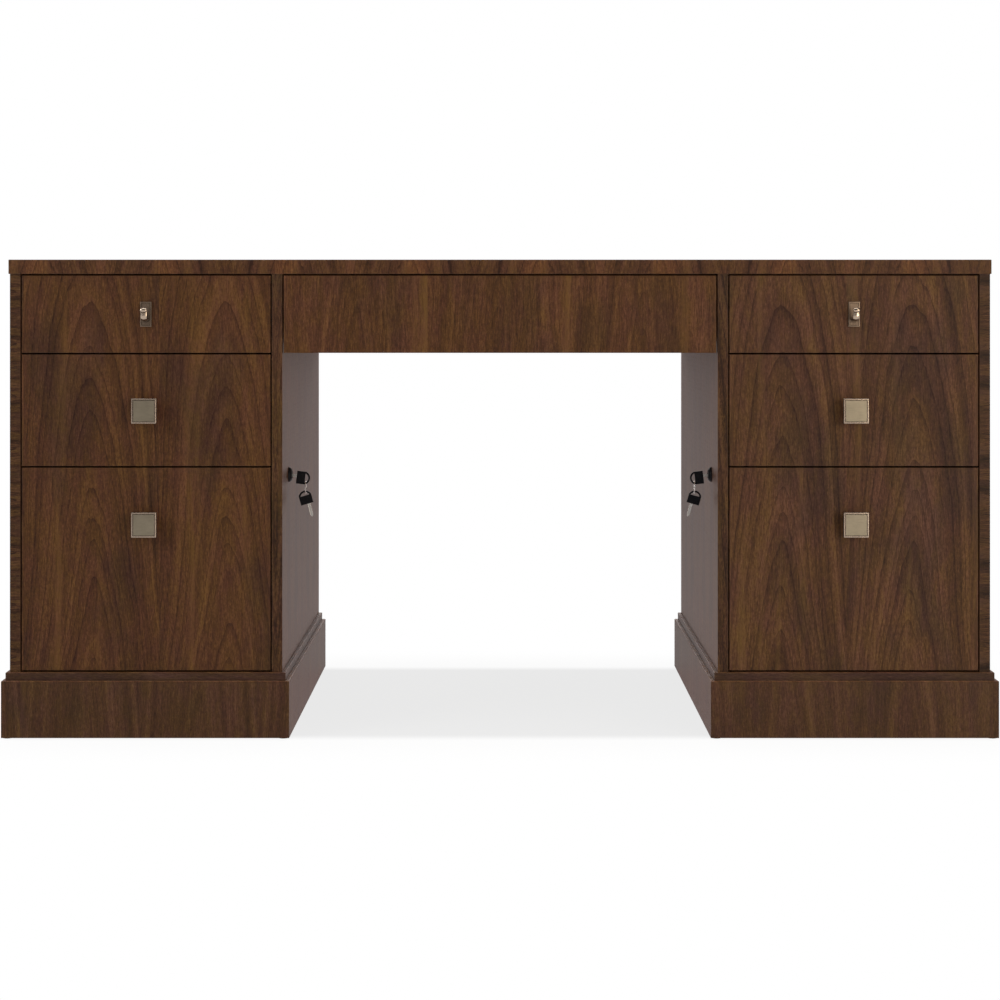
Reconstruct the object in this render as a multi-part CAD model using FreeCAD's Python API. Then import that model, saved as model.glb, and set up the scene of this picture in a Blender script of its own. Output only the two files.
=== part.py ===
import FreeCAD, Part
import math
import os
from collections import namedtuple

Vector = FreeCAD.Vector

# Pedestal desk: two drawer pedestals on stepped plinths under one flat top, with a drawer over the kneehole.
# Millimetres, +Z up, drawers facing -Y, origin on the floor under the middle of the part.
# The left half is built and mirrored, because the desk is the same on both sides of its middle plane.

# Case
overall_height = 768.0
case_width = 438.0
case_depth = 738.0
kneehole_width = 700.0
side_thickness = 17.0
back_thickness = 12.0
bottom_thickness = 17.0
housing_depth = 5.0
panel_edge_radius = 0.6

# Top, the rails it is screwed to, and the apron behind the kneehole
top_thickness = 23.0
top_overhang = 2.0
top_edge_radius = 1.0
rail_thickness = 19.0
rail_width = 80.0
apron_thickness = 17.0
top_screw_radius = 2.2
top_screw_bite = 14.0
top_screw_head_radius = 4.5
top_screw_head_height = 3.0
top_screw_spread = 260.0

# Plinth, cap moulding and floor glides
plinth_height = 92.0
plinth_board = 19.0
plinth_projection = 12.0
plinth_edge_radius = 1.2
cap_height = 13.0
cap_projection = 6.0
cap_width = 58.0
cap_edge_radius = 1.2
glide_height = 1.0
glide_radius = 8.0

# Drawer fronts
top_front_height = 124.5
middle_front_height = 179.5
front_thickness = 20.0
front_gap = 2.5
front_side_gap = 2.0
centre_side_gap = 2.2
front_back_gap = 2.0
front_edge_radius = 0.8

# Drawer boxes, dovetailed at the corners with the floor in a groove
box_board = 12.0
box_floor = 6.0
groove_depth = 6.0
floor_lift = 10.0
box_clearance = 5.0
top_box_lift = 10.0
middle_box_lift = 12.0
middle_box_drop = 18.0
file_box_drop = 30.0
centre_box_lift = 18.0
box_rear_space = 150.0
centre_rear_space = 250.0
tail_pitch = 28.0
tail_root_share = 0.6
tail_slope_share = 1 / 7

# Hanging-file rails
file_rail_spacing = 312.0
file_rail_thickness = 3.0
file_rail_height = 13.0
file_rail_proud = 2.0
file_rail_fit = 0.1

# Runners, nested steel channels
runner_gap = 12.7
runner_sheet = 1.5
runner_play = 0.6
runner_running = 0.3
runner_height = 35.0
file_runner_height = 45.0
runner_setback = 14.0

# Fixing of the pulls: a post let into the front and a screw from inside the box
post_radius = 4.0
post_length = 10.0
post_fit = 0.2
pull_screw_radius = 2.0
pull_screw_bite = 7.0
pull_screw_head_radius = 4.5
pull_screw_head_height = 2.5

# Square knobs
knob_size = 40.0
knob_projection = 26.0
knob_head_thickness = 8.0
knob_edge_radius = 0.8
knob_rim = 2.4
knob_groove_width = 0.9
knob_groove_depth = 0.8
knob_neck_radius = 6.5
knob_foot_radius = 9.0
knob_foot_thickness = 2.5
knob_drop = 90.0

# Hook pulls on upright plates
plate_width = 18.0
plate_height = 40.0
plate_thickness = 3.0
plate_rim = 1.6
plate_recess = 0.8
plate_edge_radius = 0.5
hook_width = 10.0
hook_height = 21.0
hook_projection = 32.0
hook_strap = 3.2
hook_bend_radius = 8.0
hook_roll_radius = 4.0
hook_roll_proud = 4.8

# Locks in the inner sides, with a cam that drops in front of a strike on the file drawer
lock_setback = 110.0
lock_drop = 18.5
lock_projection = 6.0
lock_flange_radius = 12.4
lock_rim_radius = 11.2
lock_recess_radius = 8.0
lock_recess_depth = 1.2
lock_barrel_radius = 9.0
lock_barrel_proud = 0.5
lock_hole_fit = 0.2
lock_nut_radius = 13.0
lock_nut_thickness = 3.0
plug_radius = 6.1
plug_clearance = 0.08
plug_proud = 0.6
keyway_width = 2.4
keyway_height = 8.6
keyway_depth = 16.5
cam_gap = 0.3
cam_thickness = 2.5
cam_width = 13.0
cam_hub_radius = 8.0
cam_length = 30.0
cam_screw_radius = 2.0
cam_screw_bite = 6.0
cam_screw_head_radius = 4.0
cam_screw_head_height = 2.2
strike_play = 1.0
strike_sheet = 2.0
strike_height = 21.0
strike_length = 24.0
strike_drop = 4.0
strike_panel_gap = 2.0
screw_fit = 0.1

# Keys: the bow's round end is concentric with its slot, and the bow hangs off the blade's line
key_bow_length = 22.4
key_bow_height = 21.0
key_bow_thickness = 3.2
key_bow_shoulder = 15.0
key_bow_corner = 1.6
key_bow_rim = 2.9
key_bow_offset = 2.3
key_slot_start = 14.2
key_blade_length = 22.0
key_blade_height = 5.0
key_blade_thickness = 1.8
key_blade_tip = 2.0
key_cut_depth = 1.3
key_cut_share = 0.12
key_cut_count = 3
key_standoff = 8.2
key_droop_degrees = 7.0
spare_tilt_degrees = 16.0
ring_radius = 9.8
ring_wire_radius = 0.8
ring_seat = 16.2
ring_play = 0.2
spare_play = 0.4

# One named overrun for cuts, and the tolerance for picking edges by place
overrun = 1.0
match = 0.001

# Levels and planes that several pieces share
case_bottom = plinth_height + cap_height
case_top = overall_height - top_thickness
front_reach = max(knob_projection, hook_projection, plinth_projection)
front_y = (front_reach - case_depth - plinth_projection) / 2
back_y = front_y + case_depth
back_face_y = back_y - back_thickness
inner_x = -kneehole_width / 2
outer_x = inner_x - case_width
opening_left = outer_x + side_thickness
opening_right = inner_x - side_thickness
opening_middle = (opening_left + opening_right) / 2
rail_front_y = front_y + front_thickness + front_back_gap
rail_bottom = case_top - rail_thickness
box_front_y = front_y + front_thickness

top_front_top = case_top - front_gap
top_front_bottom = top_front_top - top_front_height
middle_front_top = top_front_bottom - front_gap
middle_front_bottom = middle_front_top - middle_front_height
file_front_top = middle_front_bottom - front_gap
file_front_bottom = case_bottom + front_gap
upper_box_top = rail_bottom - top_screw_head_height - box_clearance
file_box_top = file_front_top - file_box_drop
lock_y = front_y + lock_setback
lock_z = file_front_top - lock_drop
barrel_end_x = opening_right - lock_nut_thickness - lock_barrel_proud

Drawer = namedtuple("Drawer", "left right bottom top gap box_bottom box_top box_back runner pull pull_z")


# Basic shapes

def block(x0, x1, y0, y1, z0, z1):
    return Part.makeBox(x1 - x0, y1 - y0, z1 - z0, Vector(x0, y0, z0))


def prism(points, direction):
    return Part.Face(Part.makePolygon(points + points[:1])).extrude(direction)


def rod_x(radius, x0, x1, y, z):
    return Part.makeCylinder(radius, x1 - x0, Vector(x0, y, z), Vector(1, 0, 0))


def rod_y(radius, x, y0, y1, z):
    return Part.makeCylinder(radius, y1 - y0, Vector(x, y0, z), Vector(0, 1, 0))


def rod_z(radius, x, y, z0, z1):
    return Part.makeCylinder(radius, z1 - z0, Vector(x, y, z0))


def joined(shapes):
    return shapes[0].multiFuse(shapes[1:]).removeSplitter()


def mirrored(shape):
    return shape.mirror(Vector(0, 0, 0), Vector(1, 0, 0))


def eased(shape, radius, chosen):
    return shape.makeFillet(radius, [edge for edge in shape.Edges if chosen(edge.BoundBox)])


def at_front(y):
    return lambda box: box.YMax < y + match


# Case panels

def bottom_panel():
    return block(opening_left - housing_depth, opening_right + housing_depth,
                 rail_front_y, back_face_y, case_bottom, case_bottom + bottom_thickness)


def back_panel():
    return block(opening_left - housing_depth, opening_right + housing_depth,
                 back_face_y, back_y, case_bottom, case_top)


def side_panel(x0):
    panel = block(x0, x0 + side_thickness, front_y, back_y, case_bottom, case_top)
    panel = eased(panel, panel_edge_radius, lambda box: box.YMax < front_y + match and box.ZLength > match)
    return panel.cut(bottom_panel()).cut(back_panel())


def inner_side():
    radius = lock_barrel_radius + lock_hole_fit
    hole = rod_x(radius, opening_right - overrun, inner_x + overrun, lock_y, lock_z)
    return side_panel(opening_right).cut(hole)


def top_rail_places():
    return [(rail_front_y, rail_front_y + rail_width), (back_face_y - rail_width, back_face_y)]


def top_screw_places():
    offsets = (-top_screw_spread / 2, top_screw_spread / 2)
    return [(opening_middle + dx, (y0 + y1) / 2) for y0, y1 in top_rail_places() for dx in offsets]


def top_rails():
    rails = []
    for y0, y1 in top_rail_places():
        rail = block(opening_left, opening_right, y0, y1, rail_bottom, case_top)
        for x, y in top_screw_places():
            hole = rod_z(top_screw_radius + screw_fit, x, y, rail_bottom - overrun, case_top + overrun)
            rail = rail.cut(hole)
        rails.append(rail)
    return rails


def top_screws():
    screws = []
    for x, y in top_screw_places():
        shank = rod_z(top_screw_radius, x, y, rail_bottom, case_top + top_screw_bite)
        head = rod_z(top_screw_head_radius, x, y, rail_bottom - top_screw_head_height, rail_bottom)
        screws.append(joined([shank, head]))
    return screws


def desk_top():
    reach = kneehole_width / 2 + case_width + top_overhang
    slab = block(-reach, reach, front_y - top_overhang, back_y + top_overhang, case_top, overall_height)
    slab = slab.makeFillet(top_edge_radius, slab.Edges)
    pilot_top = case_top + top_screw_bite + screw_fit
    for x, y in top_screw_places():
        pilot = rod_z(top_screw_radius + screw_fit, x, y, case_top - overrun, pilot_top)
        slab = slab.cut(pilot).cut(mirrored(pilot))
    return slab


def kneehole_rail():
    return block(inner_x, -inner_x, rail_front_y, rail_front_y + rail_width, rail_bottom, case_top)


def kneehole_apron():
    return block(inner_x, -inner_x, back_y - apron_thickness, back_y, top_front_bottom, case_top)


# Plinth and cap: a frame with eased outer edges, cut into four boards at its mitres

def mitred_frame(projection, z0, z1, width, radius):
    x0 = outer_x - projection
    x1 = inner_x + projection
    y0 = front_y - projection
    y1 = back_y + projection
    whole = block(x0, x1, y0, y1, z0, z1)
    whole = eased(whole, radius, lambda box: box.ZMax > z0 + match)
    whole = whole.cut(block(x0 + width, x1 - width, y0 + width, y1 - width, z0 - overrun, z1 + overrun))
    outer = [Vector(x0, y0, z0), Vector(x1, y0, z0), Vector(x1, y1, z0), Vector(x0, y1, z0)]
    inner = [Vector(x0 + width, y0 + width, z0), Vector(x1 - width, y0 + width, z0),
             Vector(x1 - width, y1 - width, z0), Vector(x0 + width, y1 - width, z0)]
    boards = []
    for i in range(len(outer)):
        j = (i + 1) % len(outer)
        wedge = prism([outer[i], outer[j], inner[j], inner[i]], Vector(0, 0, z1 - z0))
        boards.append(whole.common(wedge).Solids[0])
    return boards


def floor_glides():
    inset = plinth_board / 2 - plinth_projection
    return [rod_z(glide_radius, x, y, 0, glide_height)
            for x in (outer_x + inset, inner_x - inset) for y in (front_y + inset, back_y - inset)]


# Drawers

def pedestal_drawers():
    left = opening_left + front_side_gap
    right = opening_right - front_side_gap
    box_back = back_face_y - box_rear_space
    top = Drawer(left, right, top_front_bottom, top_front_top, front_side_gap,
                 top_front_bottom + top_box_lift, upper_box_top, box_back, runner_height, "hook",
                 (top_front_bottom + top_front_top) / 2)
    middle = Drawer(left, right, middle_front_bottom, middle_front_top, front_side_gap,
                    middle_front_bottom + middle_box_lift, middle_front_top - middle_box_drop, box_back,
                    runner_height, "knob", middle_front_top - knob_drop)
    file = Drawer(left, right, file_front_bottom, file_front_top, front_side_gap,
                  case_bottom + bottom_thickness + box_clearance, file_box_top, box_back,
                  file_runner_height, "knob", file_front_top - knob_drop)
    return {"top": top, "middle": middle, "file": file}


def centre_drawer():
    return Drawer(inner_x + centre_side_gap, -inner_x - centre_side_gap, top_front_bottom, top_front_top,
                  centre_side_gap, top_front_bottom + centre_box_lift, upper_box_top,
                  back_face_y - centre_rear_space, runner_height, None, None)


def box_sides(drawer):
    return drawer.left - drawer.gap + runner_gap, drawer.right + drawer.gap - runner_gap


def pull_hole(drawer):
    x = (drawer.left + drawer.right) / 2
    post_end = front_y + post_length + post_fit
    post = rod_y(post_radius + post_fit, x, front_y - overrun, post_end, drawer.pull_z)
    screw = rod_y(pull_screw_radius + screw_fit, x, front_y, box_front_y + box_board + overrun, drawer.pull_z)
    return joined([post, screw])


def drawer_front(drawer):
    front = block(drawer.left, drawer.right, front_y, box_front_y, drawer.bottom, drawer.top)
    front = eased(front, front_edge_radius, at_front(front_y))
    return front.cut(pull_hole(drawer)) if drawer.pull else front


def tails(x0, x1, y_end, y_root, z0, z1):
    count = max(2, round((z1 - z0) / tail_pitch))
    pitch = (z1 - z0) / count
    root = pitch * tail_root_share / 2
    tip = root + abs(y_end - y_root) * tail_slope_share
    prisms = []
    for i in range(count):
        z = z0 + pitch * (i + 1 / 2)
        outline = [Vector(x0, y_end, z - tip), Vector(x0, y_root, z - root),
                   Vector(x0, y_root, z + root), Vector(x0, y_end, z + tip)]
        prisms.append(prism(outline, Vector(x1 - x0, 0, 0)))
    return prisms


def file_rail_place(drawer, x_sign, fit):
    x = (drawer.left + drawer.right) / 2 + x_sign * file_rail_spacing / 2
    half = file_rail_thickness / 2 + fit
    z0 = drawer.box_top + file_rail_proud - file_rail_height
    return block(x - half, x + half, box_front_y, drawer.box_back, z0, z0 + file_rail_height)


def file_rails(drawer):
    return [file_rail_place(drawer, sign, 0) for sign in (-1, 1)]


def drawer_box(drawer, cuts):
    x0, x1 = box_sides(drawer)
    y0, y1 = box_front_y, drawer.box_back
    z0, z1 = drawer.box_bottom, drawer.box_top
    inset = box_board - groove_depth
    floor_z = z0 + floor_lift
    floor = block(x0 + inset, x1 - inset, y0 + inset, y1 - inset, floor_z, floor_z + box_floor)
    sides = []
    pins = []
    for left in (x0, x1 - box_board):
        front_tails = tails(left, left + box_board, y0, y0 + box_board, z0, z1)
        back_tails = tails(left, left + box_board, y1, y1 - box_board, z0, z1)
        core = block(left, left + box_board, y0 + box_board, y1 - box_board, z0, z1)
        sides.append(joined([core] + front_tails + back_tails))
        pins += front_tails + back_tails
    ends = [block(x0, x1, y, y + box_board, z0, z1).cut(pins) for y in (y0, y1 - box_board)]
    ends = [end.cut(cuts) if cuts else end for end in ends]
    return [board.cut(floor).Solids[0] for board in sides + ends] + [floor]


# Runners: the web stands on a face and the flanges reach towards the other face

def channel(x_web, x_open, half, drawer):
    sheet = math.copysign(runner_sheet, x_open - x_web)
    z = (drawer.box_bottom + drawer.box_top) / 2
    y = box_front_y + runner_setback
    x_in = x_web + sheet
    lip = half - runner_sheet
    outline = [(x_web, -half), (x_open, -half), (x_open, -lip), (x_in, -lip),
               (x_in, lip), (x_open, lip), (x_open, half), (x_web, half)]
    points = [Vector(x, y, z + dz) for x, dz in outline]
    return prism(points, Vector(0, drawer.box_back - y, 0))


def runner_members(drawer, count):
    half = drawer.runner / 2
    nest = runner_sheet + runner_running
    step = runner_sheet + runner_play
    members = [[], [], []]
    x0, x1 = box_sides(drawer)
    for face, way in ((x0, 1), (x1, -1)):
        panel = face - way * runner_gap
        members[0].append(channel(panel, face - way * step, half, drawer))
        if count == 3:
            members[1].append(channel(panel + way * step, face - way * step, half - nest, drawer))
        members[2].append(channel(face, panel + way * step * (count - 1), half - nest * (count - 1), drawer))
    return members


def strike(drawer):
    face = box_sides(drawer)[1]
    y = lock_y + cam_width / 2 + strike_play
    z1 = drawer.box_top - strike_drop
    z0 = z1 - strike_height
    flange = block(face, opening_right - strike_panel_gap, y, y + strike_sheet, z0, z1)
    base = block(face, face + strike_sheet, y, y + strike_length, z0, z1)
    return joined([flange, base])


# Pulls

def pull_screw(drawer):
    x = (drawer.left + drawer.right) / 2
    inside = box_front_y + box_board
    shank = rod_y(pull_screw_radius, x, front_y + post_length - pull_screw_bite, inside, drawer.pull_z)
    head = rod_y(pull_screw_head_radius, x, inside, inside + pull_screw_head_height, drawer.pull_z)
    return joined([shank, head])


def pull_post(x, z):
    post = rod_y(post_radius, x, front_y, front_y + post_length, z)
    y = front_y + post_length - pull_screw_bite - screw_fit
    return post, rod_y(pull_screw_radius + screw_fit, x, y, front_y + post_length + overrun, z)


def frame_prism(x, z, half_x, half_z, y0, y1):
    return block(x - half_x, x + half_x, y0, y1, z - half_z, z + half_z)


def square_knob(drawer):
    x = (drawer.left + drawer.right) / 2
    z = drawer.pull_z
    face = front_y - knob_projection
    half = knob_size / 2
    head = frame_prism(x, z, half, half, face, face + knob_head_thickness)
    head = head.makeFillet(knob_edge_radius, head.Edges)
    rim = half - knob_rim
    panel = rim - knob_groove_width
    groove = frame_prism(x, z, rim, rim, face - overrun, face + knob_groove_depth)
    groove = groove.cut(frame_prism(x, z, panel, panel, face - overrun, face + knob_groove_depth))
    neck_end = front_y - knob_foot_thickness
    neck_start = face + knob_head_thickness
    neck = Part.makeCone(knob_foot_radius, knob_neck_radius, neck_end - neck_start,
                         Vector(x, neck_start, z), Vector(0, 1, 0))
    foot = rod_y(knob_foot_radius, x, neck_end, front_y, z)
    post, thread = pull_post(x, z)
    return [joined([head.cut(groove), neck, foot, post]).cut(thread), pull_screw(drawer)]


def hook_strap_outline(x, z):
    front = front_y - hook_projection + hook_roll_proud
    root = front_y - plate_thickness + plate_recess
    low = z - hook_height / 2
    roll_z = z + hook_height / 2 - hook_roll_radius
    bend = hook_bend_radius
    inner = bend - hook_strap
    centre_y, centre_z = front + bend, low + bend
    diagonal = math.sqrt(1 / 2)

    def at(y, height):
        return Vector(x, y, height)

    under = Part.LineSegment(at(root, low), at(centre_y, low)).toShape()
    outer_bend = Part.Arc(at(centre_y, low), at(centre_y - bend * diagonal, centre_z - bend * diagonal),
                          at(front, centre_z)).toShape()
    upright = Part.LineSegment(at(front, centre_z), at(front, roll_z)).toShape()
    across = Part.LineSegment(at(front, roll_z), at(front + hook_strap, roll_z)).toShape()
    behind = Part.LineSegment(at(front + hook_strap, roll_z), at(front + hook_strap, centre_z)).toShape()
    inner_bend = Part.Arc(at(front + hook_strap, centre_z),
                          at(centre_y - inner * diagonal, centre_z - inner * diagonal),
                          at(centre_y, low + hook_strap)).toShape()
    over = Part.LineSegment(at(centre_y, low + hook_strap), at(root, low + hook_strap)).toShape()
    end = Part.LineSegment(at(root, low + hook_strap), at(root, low)).toShape()
    return Part.Face(Part.Wire([under, outer_bend, upright, across, behind, inner_bend, over, end]))


def hook_pull(drawer):
    x = (drawer.left + drawer.right) / 2
    z = drawer.pull_z
    plate = frame_prism(x, z, plate_width / 2, plate_height / 2, front_y - plate_thickness, front_y)
    plate = eased(plate, plate_edge_radius, at_front(front_y - plate_thickness))
    recess = frame_prism(x, z, plate_width / 2 - plate_rim, plate_height / 2 - plate_rim,
                         front_y - plate_thickness - overrun, front_y - plate_thickness + plate_recess)
    post, thread = pull_post(x, z)
    plate = joined([plate.cut(recess), post]).cut(thread)
    left = x - hook_width / 2
    strap = hook_strap_outline(left, z).extrude(Vector(hook_width, 0, 0))
    roll = rod_x(hook_roll_radius, left, left + hook_width, front_y - hook_projection + hook_roll_radius,
                 z + hook_height / 2 - hook_roll_radius)
    return [plate, joined([strap, roll]), pull_screw(drawer)]


# Locks: the plug turns in the housing and carries the cam and the key

def lock_housing():
    rim_x = inner_x + lock_projection
    flange = Part.makeCone(lock_flange_radius, lock_rim_radius, lock_projection,
                           Vector(inner_x, lock_y, lock_z), Vector(1, 0, 0))
    barrel = rod_x(lock_barrel_radius, barrel_end_x, inner_x, lock_y, lock_z)
    recess = rod_x(lock_recess_radius, rim_x - lock_recess_depth, rim_x + overrun, lock_y, lock_z)
    bore = rod_x(plug_radius + plug_clearance, barrel_end_x - overrun, rim_x + overrun, lock_y, lock_z)
    corners = []
    for i in range(6):
        turn = math.radians(60 * i)
        corners.append(Vector(opening_right - lock_nut_thickness, lock_y + lock_nut_radius * math.cos(turn),
                              lock_z + lock_nut_radius * math.sin(turn)))
    nut = prism(corners, Vector(lock_nut_thickness, 0, 0))
    nut = nut.cut(rod_x(lock_barrel_radius + screw_fit, barrel_end_x - overrun, inner_x, lock_y, lock_z))
    return [joined([flange, barrel]).cut(recess).cut(bore), nut]


def lock_plug():
    face = inner_x + lock_projection - lock_recess_depth + plug_proud
    cam_x = barrel_end_x - cam_gap
    far_x = cam_x - cam_thickness
    plug = rod_x(plug_radius, cam_x, face, lock_y, lock_z)
    keyway = block(face - keyway_depth, face + overrun, lock_y - keyway_width / 2, lock_y + keyway_width / 2,
                   lock_z - keyway_height / 2, lock_z + keyway_height / 2)
    thread_end = cam_x + cam_screw_bite + screw_fit
    thread = rod_x(cam_screw_radius + screw_fit, far_x - overrun, thread_end, lock_y, lock_z)
    tip_y = lock_y - cam_length + cam_width / 2
    cam = joined([rod_x(cam_hub_radius, far_x, cam_x, lock_y, lock_z),
                  block(far_x, cam_x, tip_y, lock_y, lock_z - cam_width / 2, lock_z + cam_width / 2),
                  rod_x(cam_width / 2, far_x, cam_x, tip_y, lock_z)])
    screw = joined([rod_x(cam_screw_radius, far_x, cam_x + cam_screw_bite, lock_y, lock_z),
                    rod_x(cam_screw_head_radius, far_x - cam_screw_head_height, far_x, lock_y, lock_z)])
    return [plug.cut(keyway).cut(thread), cam.cut(thread), screw]


# Keys, drawn along X with the blade's line at the origin and the bow from zero outwards

def bow_arc():
    half = key_bow_height / 2
    crown = key_bow_length - key_bow_shoulder
    centre = (key_bow_length ** 2 - key_bow_shoulder ** 2 - half ** 2) / (2 * crown)
    return centre, key_bow_length - centre


def key_bow():
    half = key_bow_height / 2
    centre, radius = bow_arc()
    slot_radius = radius - key_bow_rim
    slot_half = math.sqrt(slot_radius ** 2 - (key_slot_start - centre) ** 2)
    y = -key_bow_thickness / 2

    def at(x, z):
        return Vector(x, y, z - key_bow_offset)

    outline = Part.Wire([
        Part.LineSegment(at(0, half), at(0, -half)).toShape(),
        Part.LineSegment(at(0, -half), at(key_bow_shoulder, -half)).toShape(),
        Part.Arc(at(key_bow_shoulder, -half), at(key_bow_length, 0), at(key_bow_shoulder, half)).toShape(),
        Part.LineSegment(at(key_bow_shoulder, half), at(0, half)).toShape()])
    upper = at(key_slot_start, slot_half)
    lower = at(key_slot_start, -slot_half)
    slot = Part.Wire([
        Part.LineSegment(upper, lower).toShape(),
        Part.Arc(lower, at(centre + slot_radius, 0), upper).toShape()])
    through = Vector(0, key_bow_thickness, 0)
    bow = Part.Face(outline).extrude(through)
    bow = eased(bow, key_bow_corner, lambda box: box.XMax < match and box.YLength > match)
    return bow.cut(Part.Face(slot).extrude(through))


def key_blade():
    half = key_blade_height / 2
    y = -key_blade_thickness / 2
    tip = key_blade_tip
    outline = [(0, half), (0, -half), (tip - key_blade_length, -half), (-key_blade_length, tip - half),
               (-key_blade_length, half - tip), (tip - key_blade_length, half)]
    cut_width = key_blade_length * key_cut_share
    for i in range(key_cut_count):
        start = tip - key_blade_length + cut_width * (2 * i + 1)
        outline += [(start, half), (start + cut_width / 2, half - key_cut_depth), (start + cut_width, half)]
    points = [Vector(x, y, z) for x, z in outline]
    return prism(points, Vector(0, key_blade_thickness, 0))


def key():
    return [key_bow(), key_blade()]


def placed(solids, turn, local, world):
    solids = [solid.rotated(Vector(0, 0, 0), Vector(0, 1, 0), turn) for solid in solids]
    return [solid.translated(world - turned(local, turn)) for solid in solids]


def turned(point, turn):
    return FreeCAD.Rotation(Vector(0, 1, 0), turn).multVec(point)


def key_grip():
    face = inner_x + lock_projection - lock_recess_depth + plug_proud
    inserted = key_blade_length - key_standoff
    return Vector(-key_standoff - inserted / 2, 0, 0), Vector(face - inserted / 2, lock_y, lock_z)


def ring_bar():
    centre, radius = bow_arc()
    edge = math.sqrt(radius ** 2 - (ring_seat - centre) ** 2)
    slot = math.sqrt((radius - key_bow_rim) ** 2 - (ring_seat - centre) ** 2)
    local, world = key_grip()
    bar = Vector(ring_seat, 0, -(edge + slot) / 2 - key_bow_offset)
    return world + turned(bar - local, key_droop_degrees), (edge - slot) / 2


def ring_centre():
    bar, half = ring_bar()
    corner = math.hypot(half, key_bow_thickness / 2)
    return bar - Vector(0, 0, ring_radius - ring_wire_radius - corner - ring_play)


def spare_pivot():
    return ring_centre() - Vector(0, 0, ring_radius)


def lock_key():
    local, world = key_grip()
    return placed(key(), key_droop_degrees, local, world)


def key_ring():
    return [Part.makeTorus(ring_radius, ring_wire_radius, ring_centre(), Vector(1, 0, 0))]


def spare_key():
    centre, radius = bow_arc()
    slot_reach = math.sqrt((radius - key_bow_rim) ** 2 - key_bow_offset ** 2)
    seat = centre + slot_reach - ring_wire_radius - spare_play
    flipped = [solid.rotated(Vector(0, 0, 0), Vector(1, 0, 0), 180) for solid in key()]
    return placed(flipped, -90 - spare_tilt_degrees, Vector(seat, 0, 0), spare_pivot())


# Nodes

def pedestal_nodes():
    plinth = mitred_frame(plinth_projection, glide_height, plinth_height, plinth_board, plinth_edge_radius)
    nodes = {
        "outer_side": [side_panel(outer_x)],
        "inner_side": [inner_side()],
        "back_panel": [back_panel()],
        "bottom_panel": [bottom_panel()],
        "plinth": plinth,
        "plinth_cap": mitred_frame(cap_projection, plinth_height, case_bottom, cap_width, cap_edge_radius),
        "lock_housing": lock_housing(),
        "lock_plug": lock_plug(),
        "lock_key": lock_key(),
        "key_ring": key_ring(),
        "spare_key": spare_key(),
    }
    for name, drawer in pedestal_drawers().items():
        is_file = name == "file"
        members = runner_members(drawer, 3 if is_file else 2)
        cuts = [pull_hole(drawer)]
        cuts += [file_rail_place(drawer, sign, file_rail_fit) for sign in (-1, 1)] if is_file else []
        nodes[name + "_drawer_front"] = [drawer_front(drawer)]
        nodes[name + "_drawer_box"] = drawer_box(drawer, cuts)
        nodes[name + "_drawer_runners"] = members[2] + ([strike(drawer)] if is_file else [])
        nodes[name + "_drawer_pull"] = hook_pull(drawer) if drawer.pull == "hook" else square_knob(drawer)
        nodes["cabinet_runners"] = nodes.get("cabinet_runners", []) + members[0]
        if is_file:
            nodes["file_middle_runners"] = members[1]
            nodes["file_rails"] = file_rails(drawer)
    return nodes


def desk_nodes():
    nodes = {"desk_top": [desk_top()], "kneehole_apron": [kneehole_apron()]}
    shared = {"floor_glides": floor_glides(), "top_rails": top_rails(), "top_screws": top_screws()}
    half = pedestal_nodes()
    shared["cabinet_runners"] = half.pop("cabinet_runners")
    for name, solids in shared.items():
        nodes[name] = solids + [mirrored(solid) for solid in solids]
    nodes["top_rails"].append(kneehole_rail())
    centre = centre_drawer()
    members = runner_members(centre, 2)
    nodes["cabinet_runners"] += members[0]
    nodes["centre_drawer_front"] = [drawer_front(centre)]
    nodes["centre_drawer_box"] = drawer_box(centre, [])
    nodes["centre_drawer_runners"] = members[2]
    for name, solids in half.items():
        nodes["left_" + name] = solids
        nodes["right_" + name] = [mirrored(solid) for solid in solids]
    return nodes


def main():
    os.makedirs("parts", exist_ok=True)
    for name, solids in desk_nodes().items():
        shape = solids[0] if len(solids) == 1 else Part.makeCompound(solids)
        shape.exportStep("parts/" + name + ".step")


if __name__ == "__main__":
    main()
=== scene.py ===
import bpy
import math
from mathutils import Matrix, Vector


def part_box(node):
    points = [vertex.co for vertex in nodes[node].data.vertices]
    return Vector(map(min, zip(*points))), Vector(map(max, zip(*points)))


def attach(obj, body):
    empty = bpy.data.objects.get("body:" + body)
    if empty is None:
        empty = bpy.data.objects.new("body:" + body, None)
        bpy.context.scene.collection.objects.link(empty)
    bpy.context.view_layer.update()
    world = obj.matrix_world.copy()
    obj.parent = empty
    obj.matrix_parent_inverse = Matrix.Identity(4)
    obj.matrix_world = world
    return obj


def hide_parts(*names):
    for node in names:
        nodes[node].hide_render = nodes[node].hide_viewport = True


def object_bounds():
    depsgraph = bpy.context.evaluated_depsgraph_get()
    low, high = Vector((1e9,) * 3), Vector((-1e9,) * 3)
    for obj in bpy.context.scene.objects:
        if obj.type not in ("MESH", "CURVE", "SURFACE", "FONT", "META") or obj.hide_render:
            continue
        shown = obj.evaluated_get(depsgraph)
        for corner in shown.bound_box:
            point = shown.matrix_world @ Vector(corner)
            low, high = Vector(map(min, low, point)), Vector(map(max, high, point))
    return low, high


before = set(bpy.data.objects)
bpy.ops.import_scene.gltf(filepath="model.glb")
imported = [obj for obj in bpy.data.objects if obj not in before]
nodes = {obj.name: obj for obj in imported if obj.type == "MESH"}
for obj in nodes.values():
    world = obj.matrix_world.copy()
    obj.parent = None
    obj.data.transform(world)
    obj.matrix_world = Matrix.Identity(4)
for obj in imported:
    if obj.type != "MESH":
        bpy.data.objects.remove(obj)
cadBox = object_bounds()
print("loaded", len(nodes), "nodes")


# small helpers for shader nodes

def startMaterial(name):
    material = bpy.data.materials.new(name)
    material.use_nodes = True
    tree = material.node_tree
    return material, tree, tree.nodes["Principled BSDF"]


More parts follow.
